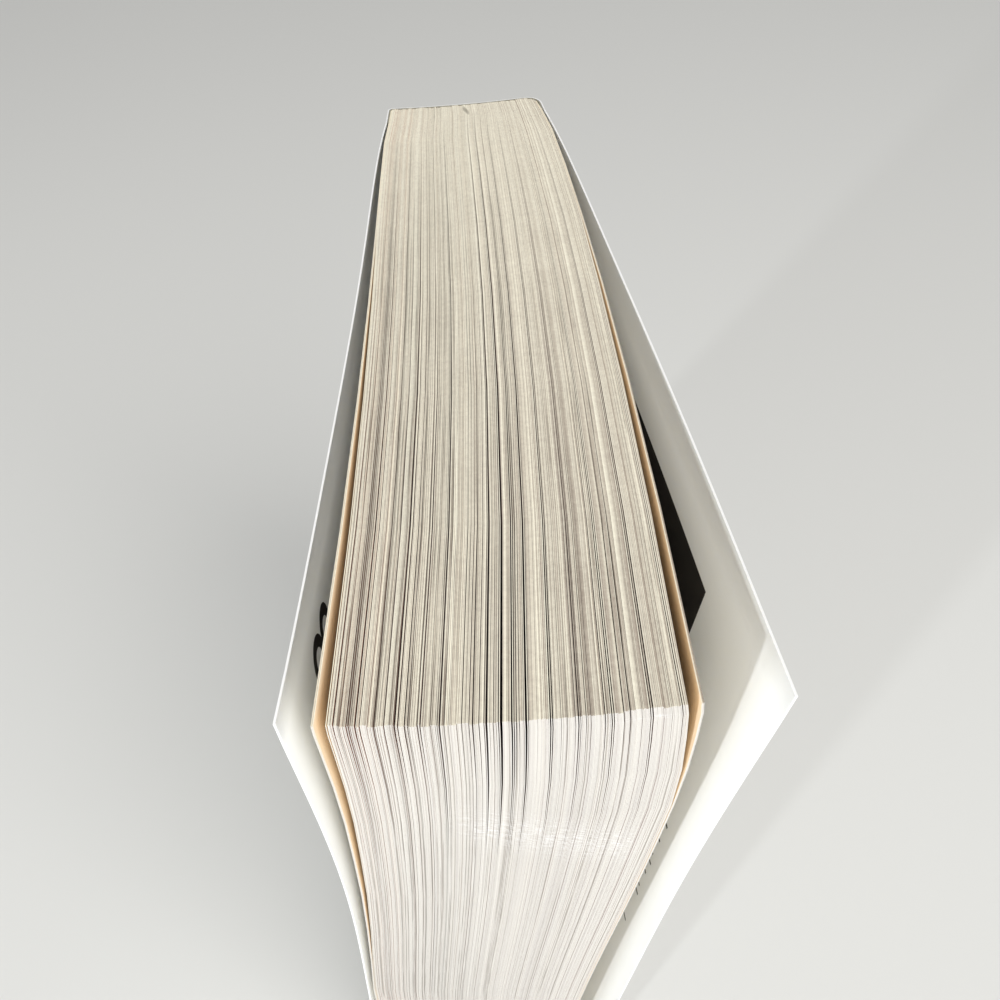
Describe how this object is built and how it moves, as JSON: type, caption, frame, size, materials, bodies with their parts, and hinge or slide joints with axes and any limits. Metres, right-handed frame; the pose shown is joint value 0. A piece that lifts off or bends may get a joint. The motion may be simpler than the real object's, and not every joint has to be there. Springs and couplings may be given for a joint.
{
  "type": "paperback book",
  "caption": "Thick paperback book standing on its tail, with fanned leaves, a cocked spine and card covers sprung open on score lines.",
  "frame": {"origin": "middle of the text block's tail face, on which the book stands", "axes": "+X from the front cover to the back cover, +Y from the fore-edge to the spine, +Z from the tail to the head"},
  "size_m": [0.0576, 0.1547, 0.229],
  "materials": {
    "book_paper": "uncoated cream book paper",
    "binding_glue": "hot-melt binding glue",
    "cover_card": "white cover card, laminated outside"
  },
  "bodies": {
    "book": {"text_block": "book_paper", "spine_glue": "binding_glue", "cover_spine": "cover_card"},
    "front_cover": {"front_cover": "cover_card"},
    "back_cover": {"back_cover": "cover_card"}
  },
  "joints": [
    {"name": "front_cover_hinge", "type": "hinge", "parent": "book", "child": "front_cover", "pos_m": [-0.0174, 0.06817, 0], "axis": [0, 0, -1], "range_deg": [0, 165]},
    {"name": "back_cover_hinge", "type": "hinge", "parent": "book", "child": "back_cover", "pos_m": [0.0178, 0.07086, 0], "axis": [0, 0, 1], "range_deg": [0, 165]}
  ]
}
